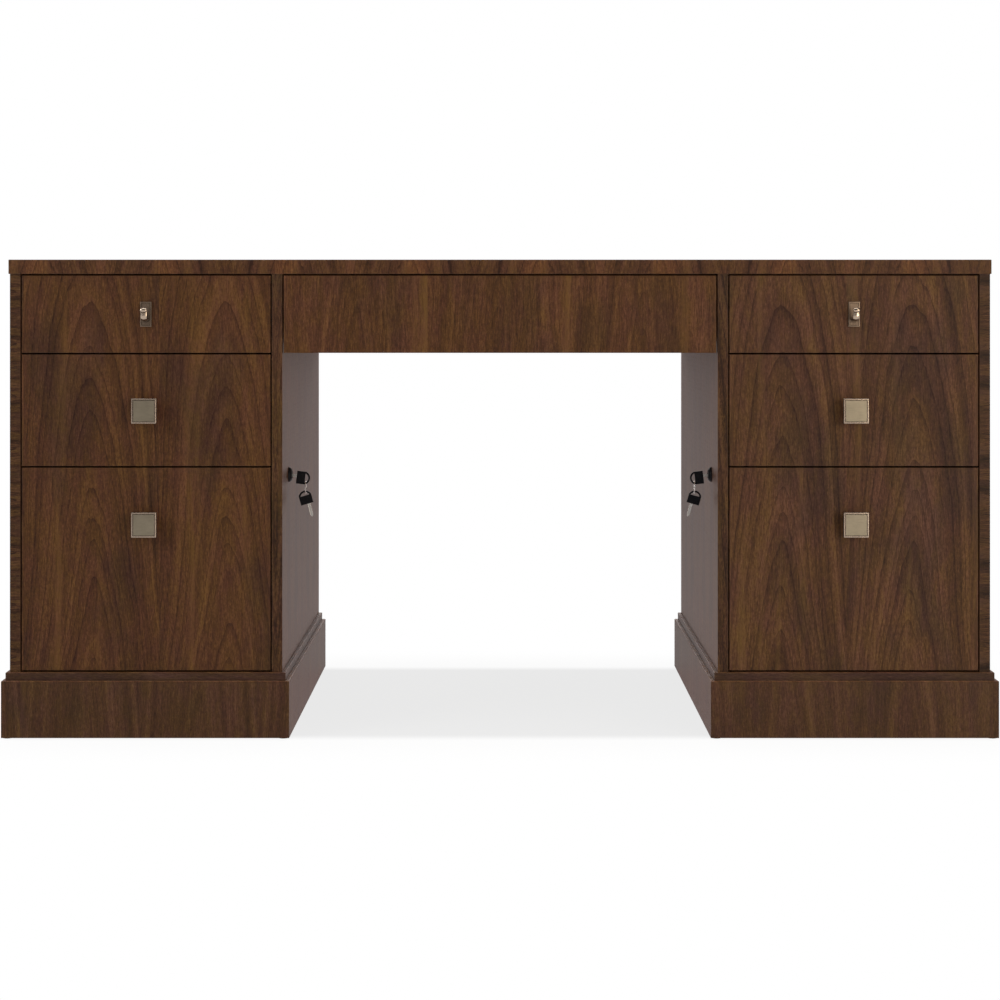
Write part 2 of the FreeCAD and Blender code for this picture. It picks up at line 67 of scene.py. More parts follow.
def addNode(tree, kind, inputs, **settings):
    node = tree.nodes.new("ShaderNode" + kind)
    for key, value in settings.items():
        setattr(node, key, value)
    for key, value in inputs.items():
        if isinstance(value, bpy.types.NodeSocket):
            tree.links.new(value, node.inputs[key])
        else:
            node.inputs[key].default_value = value
    return node


def calc(tree, operation, *values):
    return addNode(tree, "Math", dict(enumerate(values)), operation=operation).outputs[0]


def along(tree, point, direction):
    return addNode(tree, "VectorMath", {0: point, 1: direction}, operation="DOT_PRODUCT").outputs["Value"]


def combine(tree, x, y, z):
    return addNode(tree, "CombineXYZ", {0: x, 1: y, 2: z}).outputs[0]


def scaled(tree, point, scale):
    return addNode(tree, "VectorMath", {0: point, 1: scale}, operation="MULTIPLY").outputs[0]


def noise(tree, vector, detail, roughness):
    inputs = {"Vector": vector, "Scale": 1.0, "Detail": detail, "Roughness": roughness}
    return addNode(tree, "TexNoise", inputs).outputs[0]


def remap(tree, value, low, high, toLow, toHigh):
    inputs = {0: value, 1: low, 2: high, 3: toLow, 4: toHigh}
    return addNode(tree, "MapRange", inputs, interpolation_type="SMOOTHSTEP").outputs[0]


def mixColour(tree, factor, first, second, blend="MIX"):
    inputs = {0: factor, 6: first, 7: second}
    return addNode(tree, "Mix", inputs, data_type="RGBA", blend_type=blend).outputs[2]


def mixValue(tree, factor, first, second):
    return addNode(tree, "Mix", {0: factor, 2: first, 3: second}, data_type="FLOAT").outputs[0]


def ramp(tree, value, stops):
    node = addNode(tree, "ValToRGB", {0: value})
    elements = node.color_ramp.elements
    while len(elements) < len(stops):
        elements.new(0.5)
    for element, (place, colour) in zip(elements, stops):
        element.position = place
        element.color = (*colour, 1)
    return node.outputs[0]


edgeWearAndHighlightLook = {"samples": 4, "bend": (0.80, 0.985), "patchScale": (60, 60, 60), "patchRange": (0.35, 0.65),
            "patchDetail": (2, 0.6), "least": 0.35}


def edgeWearAndHighlight(tree, point, radius):
    # uneven wear and painted highlight along edges, found where a rounded normal leaves the true one
    look = edgeWearAndHighlightLook
    rounded = addNode(tree, "Bevel", {"Radius": radius}, samples=look["samples"]).outputs[0]
    straight = addNode(tree, "NewGeometry", {}).outputs["Normal"]
    edge = remap(tree, along(tree, rounded, straight), *look["bend"], 1.0, 0.0)
    patch = noise(tree, scaled(tree, point, look["patchScale"]), *look["patchDetail"])
    return calc(tree, "MULTIPLY", edge, remap(tree, patch, *look["patchRange"], look["least"], 1.0))


def bump(tree, shader, height, distance, strength):
    node = addNode(tree, "Bump", {"Height": height, "Distance": distance, "Strength": strength})
    tree.links.new(node.outputs[0], shader.inputs["Normal"])


# walnut veneer: arched leaves laid side by side, with growth lines, fibre streaks and pores

walnutLook = {
    "dark": (0.024, 0.0085, 0.0030),
    "middle": (0.060, 0.0240, 0.0082),
    "light": (0.116, 0.0520, 0.0180),
    "gold": (0.118, 0.0570, 0.0165),
    "pore": (0.018, 0.0080, 0.0045),
    "smoke": (0.62, 0.66, 0.86),
    "rose": (1.00, 0.90, 1.20),
    "olive": (1.02, 1.06, 0.80),
    "wornAndHighlight": (0.130, 0.092, 0.068),
    "wornAndHighlightWidth": 0.0016,
    "rough": 0.48,
    "roughSpread": 0.12,
    "poreRough": 0.10,
    "poreShare": 0.40,
    "specular": 0.13,
    "poreDepth": 0.00012,
    "fibreHeight": 0.4,
    "bump": 0.5,
    "bandAcross": 5.0,
    "bandDetail": (5, 0.55),
    "ringDrift": 5.0,
    "ringSharp": 7.0,
}

# each part of the figure: scale across and along the grain, detail and roughness
figureScale = {
    "sway": (4.0, 2.2, 2, 0.5), "ripple": (30.0, 8.0, 3, 0.55), "drift": (4.0, 1.5, 2, 0.5),
    "streak": (75.0, 1.3, 5, 0.70), "line": (380.0, 20.0, 3, 0.65), "fibre": (800.0, 90.0, 2, 0.7),
    "fleck": (300.0, 170.0, 3, 0.75), "pore": (1500.0, 130.0, 1, 0.5), "smoke": (12.0, 4.4, 3, 0.6),
    "gold": (42.0, 1.0, 4, 0.6), "rose": (30.0, 10.0, 5, 0.75),
    "boxFigure": (45.0, 2.0, 5, 0.6), "boxFibre": (800.0, 14.0, 2, 0.5),
}
patchRange = {"pore": (0.60, 0.72), "smoke": (0.47, 0.66), "gold": (0.52, 0.72), "rose": (0.34, 0.66)}
seedStep = {"drift": 3.0, "gold": 5.0, "smoke": 7.0, "rose": 11.0}


def stretched(tree, x, xScale, y, yScale, seed):
    return combine(tree, calc(tree, "MULTIPLY", x, xScale), calc(tree, "MULTIPLY", y, yScale), seed)


def figure(tree, kind, across, length, seed):
    acrossScale, alongScale, detail, roughness = figureScale[kind]
    if kind in seedStep:
        seed = calc(tree, "ADD", seed, seedStep[kind])
    return noise(tree, stretched(tree, across, acrossScale, length, alongScale, seed), detail, roughness)


def patches(tree, kind, across, length, seed):
    return remap(tree, figure(tree, kind, across, length, seed), *patchRange[kind], 0.0, 1.0)


def addShare(tree, tone, value, share):
    return calc(tree, "MULTIPLY_ADD", calc(tree, "SUBTRACT", value, 0.5), share, tone)


def walnut(name, grain):
    material, tree, shader = startMaterial(name)
    look = walnutLook
    texture = addNode(tree, "TexCoord", {})
    point = texture.outputs["Object"]
    across = along(tree, point, grain["across"])
    length = along(tree, point, grain["along"])
    tint = (*grain["tint"], 1)
    if "edgeAcross" in grain:  # the veneer on an edge runs its own way
        facing = calc(tree, "ABSOLUTE", along(tree, texture.outputs["Normal"], grain["edgeFacing"]))
        facing = calc(tree, "GREATER_THAN", facing, 0.5)
        across = mixValue(tree, facing, across, along(tree, point, grain["edgeAcross"]))
        length = mixValue(tree, facing, length, along(tree, point, grain["edgeAlong"]))
        tint = mixColour(tree, facing, tint, (*grain["edgeTint"], 1))
        strength = mixValue(tree, facing, 1.0, grain["edgeStrength"])
    seed = grain["seed"]
    leafPlace = calc(tree, "DIVIDE", calc(tree, "SUBTRACT", across, grain["start"]), grain["leaf"])
    leaf = calc(tree, "FLOOR", leafPlace)
    inLeaf = calc(tree, "SUBTRACT", calc(tree, "SUBTRACT", leafPlace, leaf), 0.5)
    leafSeed = seed
    if grain["matched"]:  # every second leaf is turned over like a page
        turned = calc(tree, "FLOORED_MODULO", leaf, 2.0)
        inLeaf = calc(tree, "MULTIPLY", inLeaf, calc(tree, "MULTIPLY_ADD", turned, -2.0, 1.0))
    else:
        leafSeed = calc(tree, "MULTIPLY_ADD", leaf, grain["leafChange"], seed)
    flat = calc(tree, "MULTIPLY", inLeaf, grain["leaf"])
    x = addShare(tree, flat, figure(tree, "sway", flat, length, leafSeed), grain["sway"])
    # growth lines arch up the leaf, rounder at its top than at its foot
    square = calc(tree, "MULTIPLY", x, x)
    curve = calc(tree, "SQRT", calc(tree, "ADD", square, grain["round"] ** 2))
    steep = remap(tree, length, grain["foot"], grain["head"], grain["archFoot"], grain["archHead"])
    arch = calc(tree, "MULTIPLY_ADD", curve, steep, length)
    arch = calc(tree, "MULTIPLY_ADD", square, grain["spread"], arch)
    arch = addShare(tree, arch, figure(tree, "ripple", x, length, leafSeed), grain["ripple"])
    bandPlace = stretched(tree, arch, grain["bands"], x, look["bandAcross"], leafSeed)
    band = noise(tree, bandPlace, *look["bandDetail"])
    drift = figure(tree, "drift", arch, x, leafSeed)
    ring = addShare(tree, calc(tree, "MULTIPLY", arch, grain["rings"]), drift, look["ringDrift"])
    ring = calc(tree, "POWER", calc(tree, "FRACT", ring), look["ringSharp"])
    fibre = figure(tree, "fibre", across, length, seed)
    pore = patches(tree, "pore", across, length, seed)
    smoke = patches(tree, "smoke", x, length, leafSeed)
    gold = patches(tree, "gold", x, length, leafSeed)
    tone = addShare(tree, grain["tone"], band, grain["bandShare"])
    tone = addShare(tree, tone, figure(tree, "streak", x, length, leafSeed), grain["streakShare"])
    tone = addShare(tree, tone, figure(tree, "line", x, length, leafSeed), grain["lineShare"])
    tone = addShare(tree, tone, fibre, grain["fibreShare"])
    tone = addShare(tree, tone, figure(tree, "fleck", across, length, seed), grain["fleckShare"])
    tone = calc(tree, "MULTIPLY_ADD", ring, -grain["ringShare"], tone)
    if "edgeAcross" in grain:
        offTone = calc(tree, "SUBTRACT", tone, grain["tone"])
        tone = calc(tree, "MULTIPLY_ADD", offTone, strength, grain["tone"])
    colour = ramp(tree, tone, ((0.0, look["dark"]), (0.5, look["middle"]), (1.0, look["light"])))
    colour = mixColour(tree, calc(tree, "MULTIPLY", gold, grain["gold"]), colour, (*look["gold"], 1))
    smoked = mixColour(tree, 1.0, colour, (*look["smoke"], 1), "MULTIPLY")
    colour = mixColour(tree, calc(tree, "MULTIPLY", smoke, grain["smoke"]), colour, smoked)
    # the hue drifts between rose and olive in small patches
    rose = patches(tree, "rose", x, length, leafSeed)
    hue = mixColour(tree, rose, (*look["olive"], 1), (*look["rose"], 1))
    colour = mixColour(tree, grain["rose"], colour, mixColour(tree, 1.0, colour, hue, "MULTIPLY"))
    colour = mixColour(tree, calc(tree, "MULTIPLY", pore, look["poreShare"]), colour, (*look["pore"], 1))
    colour = mixColour(tree, 1.0, colour, tint, "MULTIPLY")
    # paler edges: wear, and painted highlight where the edges catch light
    wornAndHighlight = calc(tree, "MULTIPLY", edgeWearAndHighlight(tree, point, look["wornAndHighlightWidth"]), grain["wornAndHighlight"])
    colour = mixColour(tree, wornAndHighlight, colour, (*look["wornAndHighlight"], 1))
    tree.links.new(colour, shader.inputs["Base Color"])
    spread = look["roughSpread"]
    rough = calc(tree, "MULTIPLY_ADD", fibre, spread, look["rough"] - spread / 2)
    rough = calc(tree, "MULTIPLY_ADD", pore, look["poreRough"], rough)
    tree.links.new(rough, shader.inputs["Roughness"])
    shader.inputs["Specular IOR Level"].default_value = look["specular"]
    height = calc(tree, "MULTIPLY_ADD", pore, -1.0, calc(tree, "MULTIPLY", fibre, look["fibreHeight"]))
    bump(tree, shader, height, look["poreDepth"], look["bump"])
    return material


frontGrain = {
    "across": (1, 0, 0), "along": (0, 0, 1), "seed": 5.1, "start": -0.766, "leaf": 0.218,
    "matched": False, "leafChange": 0.23, "sway": 0.030, "round": 0.010, "spread": 22.0,
    "foot": 0.15, "head": 0.72, "archFoot": 4.2, "archHead": 1.8,
    "ripple": 0.055, "bands": 13.0, "rings": 15.0, "tone": 0.55,
    "bandShare": 1.20, "streakShare": 0.22, "lineShare": 0.75, "fibreShare": 1.1, "fleckShare": 0.9,
    "ringShare": 0.42, "edgeStrength": 1.0,
    "gold": 0.50, "smoke": 0.72, "rose": 1.0, "wornAndHighlight": 0.45, "tint": (1.02, 1.03, 1.02),
}
# bluer tint on the right fronts: it paints out the warm right lamp's light on them
rightFrontGrain = dict(frontGrain, start=0.3475, leaf=0.2095, seed=8.2, tint=(0.99, 1.07, 1.19))
centreGrain = dict(frontGrain, start=-0.350, leaf=0.2335, seed=12.4, archFoot=7.0, archHead=7.0, sway=0.06,
                   bands=8.0, bandShare=1.0, streakShare=0.6, ringShare=0.25, gold=0.6, smoke=0.5)
sideGrain = dict(frontGrain, across=(0, 1, 0), start=-0.361, leaf=0.1845, seed=21.0, matched=True,
                 tint=(1.0, 0.94, 0.98), edgeFacing=(0, 1, 0), edgeAcross=(1, 0, 0),
                 edgeAlong=(0, 0, 1), edgeTint=(0.73, 0.80, 0.85), edgeStrength=1.9)
outerGrain = dict(sideGrain, edgeAcross=(0, 0, 2.2), edgeAlong=(1, 0, 0), seed=25.0)
topGrain = dict(frontGrain, along=(0, 1, 0), start=-0.802, leaf=0.2005, seed=31.0, matched=True,
                foot=-0.38, head=0.38, wornAndHighlight=0.6, edgeFacing=(1, 1, 0), edgeAcross=(1, 1, 0),
                edgeAlong=(0, 0, 1), edgeTint=(1.20, 1.18, 1.16), edgeStrength=1.2)
backGrain = dict(frontGrain, seed=41.0, matched=True)
# the plinth's and cap's faces along Z are tinted pale and blue: painted highlight on their top ledges
plinthGrain = dict(frontGrain, across=(1, 1, 0), start=0.0, leaf=0.19, seed=51.0, archFoot=9.0,
                   archHead=9.0, spread=40.0, gold=0.20, smoke=0.55, tint=(0.83, 0.93, 1.10), bands=7.0,
                   bandShare=1.1, streakShare=0.35, lineShare=0.6, fleckShare=0.7, ringShare=0.12, wornAndHighlight=0.9,
                   edgeFacing=(0, 0, 1), edgeAcross=(1, 1, 0), edgeAlong=(0, 0, 1),
                   edgeTint=(1.7, 1.75, 1.9))
capGrain = dict(plinthGrain, across=(0, 0, 1), along=(1, 1, 0), seed=57.0, tint=(0.67, 0.78, 1.20),
                edgeAcross=(0, 0, 1), edgeAlong=(1, 1, 0), edgeTint=(1.5, 1.6, 1.9))

# the left fronts are tinted darker and warmer than the right: light and shade painted into two copies of one
# veneer
walnutLeftFronts = walnut("walnutLeftFronts", dict(frontGrain, tint=(0.94, 0.945, 0.88)))
walnutRightFronts = walnut("walnutRightFronts", rightFrontGrain)
walnutCentre = walnut("walnutCentre", centreGrain)
walnutInner = walnut("walnutInner", sideGrain)
walnutOuter = walnut("walnutOuter", outerGrain)
walnutTop = walnut("walnutTop", topGrain)
walnutBack = walnut("walnutBack", backGrain)
walnutPlinth = walnut("walnutPlinth", plinthGrain)
walnutCap = walnut("walnutCap", capGrain)
print("walnut finishes made")


# pale wood of the drawer boxes and the plain wood hidden in the case

boxWood = {"dark": (0.40, 0.27, 0.150), "light": (0.62, 0.46, 0.29), "wornAndHighlight": (0.70, 0.55, 0.37),
           "rough": 0.42, "seed": 2.0}
caseWood = {"dark": (0.26, 0.17, 0.095), "light": (0.46, 0.33, 0.20), "wornAndHighlight": (0.52, 0.39, 0.25),
            "rough": 0.58, "seed": 6.0}
paleLook = {"figureShare": 0.65, "fibreShare": 0.35, "darkAt": 0.32, "lightAt": 0.66, "wornAndHighlightWidth": 0.0012,
            "wornAndHighlightShare": 0.6, "roughSpread": 0.16, "specular": 0.35, "fibreDepth": 0.00008, "bump": 0.4}
dovetail = {"board": 0.012, "pitch": 0.028, "fewest": 2, "rootShare": 0.6, "slope": 1 / 7, "seam": 0.00022,
            "endTint": (0.52, 0.46, 0.40, 1), "seamTint": (0.25, 0.20, 0.16, 1)}


def fromEnds(tree, point, corners, axis):
    place = along(tree, point, axis)
    low, high = (corner.dot(Vector(axis)) for corner in corners)
    return calc(tree, "MINIMUM", calc(tree, "SUBTRACT", place, low), calc(tree, "SUBTRACT", high, place))


def near(tree, first, second, width):
    return calc(tree, "LESS_THAN", calc(tree, "ABSOLUTE", calc(tree, "SUBTRACT", first, second)), width)


def dovetails(tree, point, corners, deep):
    # on a side's face, where the end boards' pins and the joint lines show
    joint = dovetail
    low, high = corners
    tall = high.z - low.z
    pitch = tall / max(joint["fewest"], round(tall / joint["pitch"]))
    root = pitch * joint["rootShare"] / 2
    tip = root + joint["board"] * joint["slope"]
    rise = calc(tree, "SUBTRACT", along(tree, point, (0, 0, 1)), low.z + pitch / 2)
    off = calc(tree, "PINGPONG", rise, pitch / 2)
    tail = calc(tree, "MULTIPLY_ADD", deep, -joint["slope"], tip)
    pin = calc(tree, "GREATER_THAN", off, tail)
    foot = calc(tree, "MULTIPLY", pin, near(tree, deep, joint["board"], joint["seam"]))
    return pin, calc(tree, "MAXIMUM", foot, near(tree, off, tail, joint["seam"]))


def paleWood(name, look, corners=None):
    material, tree, shader = startMaterial(name)
    texture = addNode(tree, "TexCoord", {})
    point = texture.outputs["Object"]
    turns = {}
    for letter, axis in (("x", (1, 0, 0)), ("z", (0, 0, 1))):
        turn = calc(tree, "ABSOLUTE", along(tree, texture.outputs["Normal"], axis))
        turns[letter] = calc(tree, "GREATER_THAN", turn, 0.5)
    flatAcross = along(tree, point, (1, 0, 0))
    flatLength = along(tree, point, (0, 1, 0))
    if corners:  # the end boards' upper edges run across the box
        deep = fromEnds(tree, point, corners, (0, 1, 0))
        inEnd = calc(tree, "LESS_THAN", deep, dovetail["board"])
        flatAcross, flatLength = (mixValue(tree, inEnd, flatAcross, flatLength),
                                  mixValue(tree, inEnd, flatLength, flatAcross))
    across = mixValue(tree, turns["z"], along(tree, point, (0, 0, 1)), flatAcross)
    length = mixValue(tree, turns["z"], along(tree, point, (1, 1, 0)), flatLength)
    pale = paleLook
    fibre = figure(tree, "boxFibre", across, length, look["seed"])
    tone = figure(tree, "boxFigure", across, length, look["seed"])
    tone = calc(tree, "MULTIPLY", tone, pale["figureShare"])
    tone = calc(tree, "MULTIPLY_ADD", fibre, pale["fibreShare"], tone)
    colour = ramp(tree, tone, ((pale["darkAt"], look["dark"]), (pale["lightAt"], look["light"])))
    if corners:
        pin, seam = dovetails(tree, point, corners, deep)
        onSide = calc(tree, "MULTIPLY", turns["x"], inEnd)
        ended = mixColour(tree, 1.0, colour, dovetail["endTint"], "MULTIPLY")
        colour = mixColour(tree, calc(tree, "MULTIPLY", pin, onSide), colour, ended)
        seamed = mixColour(tree, 1.0, colour, dovetail["seamTint"], "MULTIPLY")
        colour = mixColour(tree, calc(tree, "MULTIPLY", seam, onSide), colour, seamed)
    # paler edges: wear, and painted highlight where the edges catch light
    wornAndHighlight = calc(tree, "MULTIPLY", edgeWearAndHighlight(tree, point, pale["wornAndHighlightWidth"]), pale["wornAndHighlightShare"])
    colour = mixColour(tree, wornAndHighlight, colour, (*look["wornAndHighlight"], 1))
    tree.links.new(colour, shader.inputs["Base Color"])
    spread = pale["roughSpread"]
    rough = calc(tree, "MULTIPLY_ADD", fibre, spread, look["rough"] - spread / 2)
    tree.links.new(rough, shader.inputs["Roughness"])
    shader.inputs["Specular IOR Level"].default_value = pale["specular"]
    bump(tree, shader, fibre, pale["fibreDepth"], pale["bump"])
    return material


plainCase = paleWood("plainCase", caseWood)


# metals and plastics

metalLook = {"detail": (3, 0.6), "hairShare": 0.55, "cloudShare": 0.45, "darkAt": 0.30, "lightAt": 0.70,
             "wornAndHighlightWidth": 0.0007, "patinaAndShadeSamples": 6, "patinaAndShadeTo": 0.97, "roughRange": (0.25, 0.75),
             "smoother": 0.07, "rougher": 0.09, "bump": 0.35}


def brushedMetal(name, look):
    material, tree, shader = startMaterial(name)
    metal = metalLook
    point = addNode(tree, "TexCoord", {}).outputs["Object"]
    hair = noise(tree, scaled(tree, point, look["hair"]), *metal["detail"])
    cloud = noise(tree, scaled(tree, point, look["cloud"]), *metal["detail"])
    tone = calc(tree, "MULTIPLY", hair, metal["hairShare"])
    tone = calc(tree, "MULTIPLY_ADD", cloud, metal["cloudShare"], tone)
    colour = ramp(tree, tone, ((metal["darkAt"], look["dark"]), (metal["lightAt"], look["light"])))
    # paler edges: wear, and painted highlight where the edges catch light
    colour = mixColour(tree, edgeWearAndHighlight(tree, point, metal["wornAndHighlightWidth"]), colour, (*look["wornAndHighlight"], 1))
    if "patinaAndShade" in look:  # dark patina and painted shade in hollows and next to other parts
        reach = {"Distance": look["patinaAndShadeReach"]}
        clear = addNode(tree, "AmbientOcclusion", reach, samples=metal["patinaAndShadeSamples"]).outputs["AO"]
        openShare = remap(tree, clear, look["patinaAndShadeFrom"], metal["patinaAndShadeTo"], 0.0, 1.0)
        colour = mixColour(tree, openShare, (*look["patinaAndShade"], 1), colour)
    tree.links.new(colour, shader.inputs["Base Color"])
    smooth = look["rough"] - metal["smoother"]
    rough = remap(tree, tone, *metal["roughRange"], smooth, look["rough"] + metal["rougher"])
    tree.links.new(rough, shader.inputs["Roughness"])
    shader.inputs["Metallic"].default_value = look["metallic"]
    shader.inputs["Specular IOR Level"].default_value = look["specular"]
    bump(tree, shader, hair, look["scratch"], metal["bump"])
    return material


brassLook = {"hair": (60, 60, 2600), "cloud": (45, 45, 45), "dark": (0.193, 0.174, 0.127),
             "light": (0.302, 0.273, 0.201), "wornAndHighlight": (0.40, 0.34, 0.255), "rough": 0.36, "metallic": 1.0,
             "specular": 0.5, "scratch": 0.00004, "patinaAndShade": (0.045, 0.033, 0.023), "patinaAndShadeReach": 0.002,
             "patinaAndShadeFrom": 0.40}
# the rim's brass is paler than the panel's: painted highlight on the rim, besides its smoother polish
rimBrassLook = dict(brassLook, hair=(1500, 1500, 1500), scratch=0.00001, dark=(0.32, 0.265, 0.210),
                    light=(0.40, 0.335, 0.265), wornAndHighlight=(0.46, 0.385, 0.310), rough=0.26)
# its wider reach paints shade into the hook's curl and crease
hookBrassLook = dict(rimBrassLook, dark=(0.36, 0.30, 0.23), light=(0.46, 0.39, 0.31), rough=0.22,
                     patinaAndShadeReach=0.010, patinaAndShadeFrom=0.55)
# its long reach paints the hook's shadow onto the plate round it
plateBrassLook = dict(brassLook, dark=(0.180, 0.138, 0.102), light=(0.270, 0.210, 0.156),
                      wornAndHighlight=(0.36, 0.29, 0.22), rough=0.40, patinaAndShadeReach=0.040, patinaAndShadeFrom=0.62)
zincLook = {"hair": (900, 30, 900), "cloud": (70, 25, 70), "dark": (0.38, 0.39, 0.40),
            "light": (0.57, 0.58, 0.59), "wornAndHighlight": (0.66, 0.66, 0.66), "rough": 0.36, "metallic": 1.0,
            "specular": 0.5, "scratch": 0.00003}
lockLook = {"hair": (500, 500, 500), "cloud": (120, 120, 120), "dark": (0.003, 0.003, 0.004),
            "light": (0.008, 0.008, 0.010), "wornAndHighlight": (0.025, 0.025, 0.025), "rough": 0.42, "metallic": 0.0,
            "specular": 0.08, "scratch": 0.00003}
plugLook = dict(lockLook, dark=(0.007, 0.007, 0.008), light=(0.018, 0.018, 0.020), wornAndHighlight=(0.06, 0.06, 0.06),
                specular=0.25)
nickelLook = {"hair": (900, 900, 900), "cloud": (200, 200, 200), "dark": (0.72, 0.71, 0.69),
              "light": (0.86, 0.85, 0.82), "wornAndHighlight": (0.90, 0.89, 0.87), "rough": 0.18, "metallic": 1.0,
              "specular": 0.5, "scratch": 0.00001}
bladeLook = dict(nickelLook, dark=(0.32, 0.32, 0.30), light=(0.48, 0.48, 0.45), rough=0.30)
keyLook = {"hair": (1400, 1400, 1400), "cloud": (160, 160, 160), "dark": (0.003, 0.003, 0.004),
           "light": (0.008, 0.008, 0.010), "wornAndHighlight": (0.02, 0.02, 0.02), "rough": 0.5, "metallic": 0.0,
           "specular": 0.08, "scratch": 0.00004}
glideLook = dict(keyLook, dark=(0.016, 0.013, 0.011), light=(0.034, 0.028, 0.024), rough=0.55)

champagneBrass = brushedMetal("champagneBrass", brassLook)
rimBrass = brushedMetal("rimBrass", rimBrassLook)
polishedBrass = brushedMetal("polishedBrass", hookBrassLook)
plateBrass = brushedMetal("plateBrass", plateBrassLook)
zincSteel = brushedMetal("zincSteel", zincLook)
blackLock = brushedMetal("blackLock", lockLook)
lockFace = brushedMetal("lockFace", plugLook)
nickelPlate = brushedMetal("nickelPlate", nickelLook)
keySteel = brushedMetal("keySteel", bladeLook)
keyPlastic = brushedMetal("keyPlastic", keyLook)
glideNylon = brushedMetal("glideNylon", glideLook)
print("metals and plastics made")


# finishes on the frame's own nodes, by the end of each name

finishes = {
    "desk_top": walnutTop, "kneehole_apron": walnutCentre, "centre_drawer_front": walnutCentre,
    "outer_side": walnutOuter, "inner_side": walnutInner, "back_panel": walnutBack,
    # the top rails take the dark back veneer, which darkens the gap under the top: painted shade there
    "bottom_panel": plainCase, "plinth": walnutPlinth, "plinth_cap": walnutCap, "top_rails": walnutBack,
    "top_screws": zincSteel, "runners": zincSteel, "file_rails": zincSteel, "drawer_pull": champagneBrass,
    "lock_housing": blackLock, "lock_plug": lockFace, "lock_key": keyPlastic, "spare_key": keyPlastic,
    "key_ring": nickelPlate, "floor_glides": glideNylon,
}


def finishOf(name):
    if name.endswith("drawer_front") and name.startswith(("left", "right")):
        return walnutLeftFronts if name.startswith("left") else walnutRightFronts
    if name.endswith("drawer_box"):  # each box has its own dovetails
        return paleWood("maple_" + name, boxWood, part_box(name))
    return next(finishes[end] for end in finishes if name.endswith(end))


for name, node in nodes.items():
    node.data.materials.clear()
    node.data.materials.append(finishOf(name))
print("finishes on all nodes")


# hand tools for modelling

quarterTurn = math.radians(90)
edgeAngle = math.radians(28)  # sharper edges than this are rounded
overrun = 0.001  # how far a cutter passes the face it cuts
nearlyAll = 0.99  # share by which a normal or a place counts as fully to one side
postSides = 40


def dropSelection():
    if bpy.context.object and bpy.context.object.mode != "OBJECT":
        bpy.ops.object.mode_set(mode="OBJECT")
    bpy.ops.object.select_all(action="DESELECT")


def choose(piece):
    dropSelection()
    piece.select_set(True)
    bpy.context.view_layer.objects.active = piece


def settle(piece):
    choose(piece)
    bpy.ops.object.transform_apply(location=True, rotation=True, scale=True)
    return piece


def addBlock(name, low, high):
    dropSelection()
    low, high = Vector(low), Vector(high)
    bpy.ops.mesh.primitive_cube_add(size=1, location=(low + high) / 2, scale=high - low)
    bpy.context.object.name = name
    return settle(bpy.context.object)


def addRound(name, centre, radius, depth, turn, sides):
    dropSelection()
    bpy.ops.mesh.primitive_cylinder_add(vertices=sides, radius=radius, depth=depth, location=centre,
                                        rotation=turn)
    bpy.context.object.name = name
    return settle(bpy.context.object)


def addCircle(name, centre, radius, sides, fill):
    # upright, so that it faces along Y
    dropSelection()
    bpy.ops.mesh.primitive_circle_add(vertices=sides, radius=radius, fill_type=fill, location=centre,
                                      rotation=(quarterTurn, 0, 0))
    bpy.context.object.name = name
    return settle(bpy.context.object)


def startPick(piece, kind):
    choose(piece)
    bpy.ops.object.mode_set(mode="EDIT")
    bpy.ops.mesh.select_mode(type=kind)
    bpy.ops.mesh.select_all(action="DESELECT")
    bpy.ops.object.mode_set(mode="OBJECT")


def pickFaces(piece, test):
    startPick(piece, "FACE")
    for face in piece.data.polygons:
        face.select = test(face.center, face.normal)
    bpy.ops.object.mode_set(mode="EDIT")


def pickPoints(piece, test):
    startPick(piece, "VERT")
    for vertex in piece.data.vertices:
        vertex.select = test(vertex.co)
    bpy.ops.object.mode_set(mode="EDIT")


def pickEdges(piece, test):
    startPick(piece, "EDGE")
    places = piece.data.vertices
    for edge in piece.data.edges:
        edge.select = test(places[edge.vertices[0]].co, places[edge.vertices[1]].co)
    bpy.ops.object.mode_set(mode="EDIT")


def pickAll(piece):
    pickPoints(piece, lambda place: True)


def facesFront(place, normal):
    return normal.y < -nearlyAll


def faceOut(piece):
    pickAll(piece)
    bpy.ops.mesh.normals_make_consistent(inside=False)
    dropSelection()


def pull(offset):
    bpy.ops.mesh.extrude_region_move(TRANSFORM_OT_translate={"value": offset})


def useModifier(piece, kind, **settings):
    choose(piece)
    modifier = piece.modifiers.new(kind, kind)
    for key, value in settings.items():
        setattr(modifier, key, value)
    bpy.ops.object.modifier_apply(modifier=modifier.name)


def cutAway(piece, cutter):
    useModifier(piece, "BOOLEAN", operation="DIFFERENCE", object=cutter, solver="EXACT")
    bpy.data.objects.remove(cutter)


def smoothFaces(piece, degrees=32):
    choose(piece)
    bpy.ops.object.shade_smooth_by_angle(angle=math.radians(degrees))


def softEdges(piece, width, segments=3):
    useModifier(piece, "BEVEL", width=width, segments=segments, limit_method="ANGLE", angle_limit=edgeAngle)
    smoothFaces(piece)


def sinkFront(piece, look):
    # a rim stays proud round the front
    pickFaces(piece, facesFront)
    bpy.ops.mesh.inset(thickness=look["rim"] - look["edge"], depth=0)
    bpy.ops.mesh.inset(thickness=look["wall"], depth=-look["recess"])
    smoothFaces(piece)


def fuse(piece, other):
    useModifier(piece, "BOOLEAN", operation="UNION", object=other, solver="EXACT")
    bpy.data.objects.remove(other)
    smoothFaces(piece)
    return piece


def copyPiece(piece, name):
    twin = piece.copy()
    twin.data = piece.data.copy()
    twin.name = name
    bpy.context.collection.objects.link(twin)
    return twin


def mirrorPiece(piece, name):
    twin = copyPiece(piece, name)
    twin.scale = (-1, 1, 1)
    settle(twin)
    faceOut(twin)
    return twin


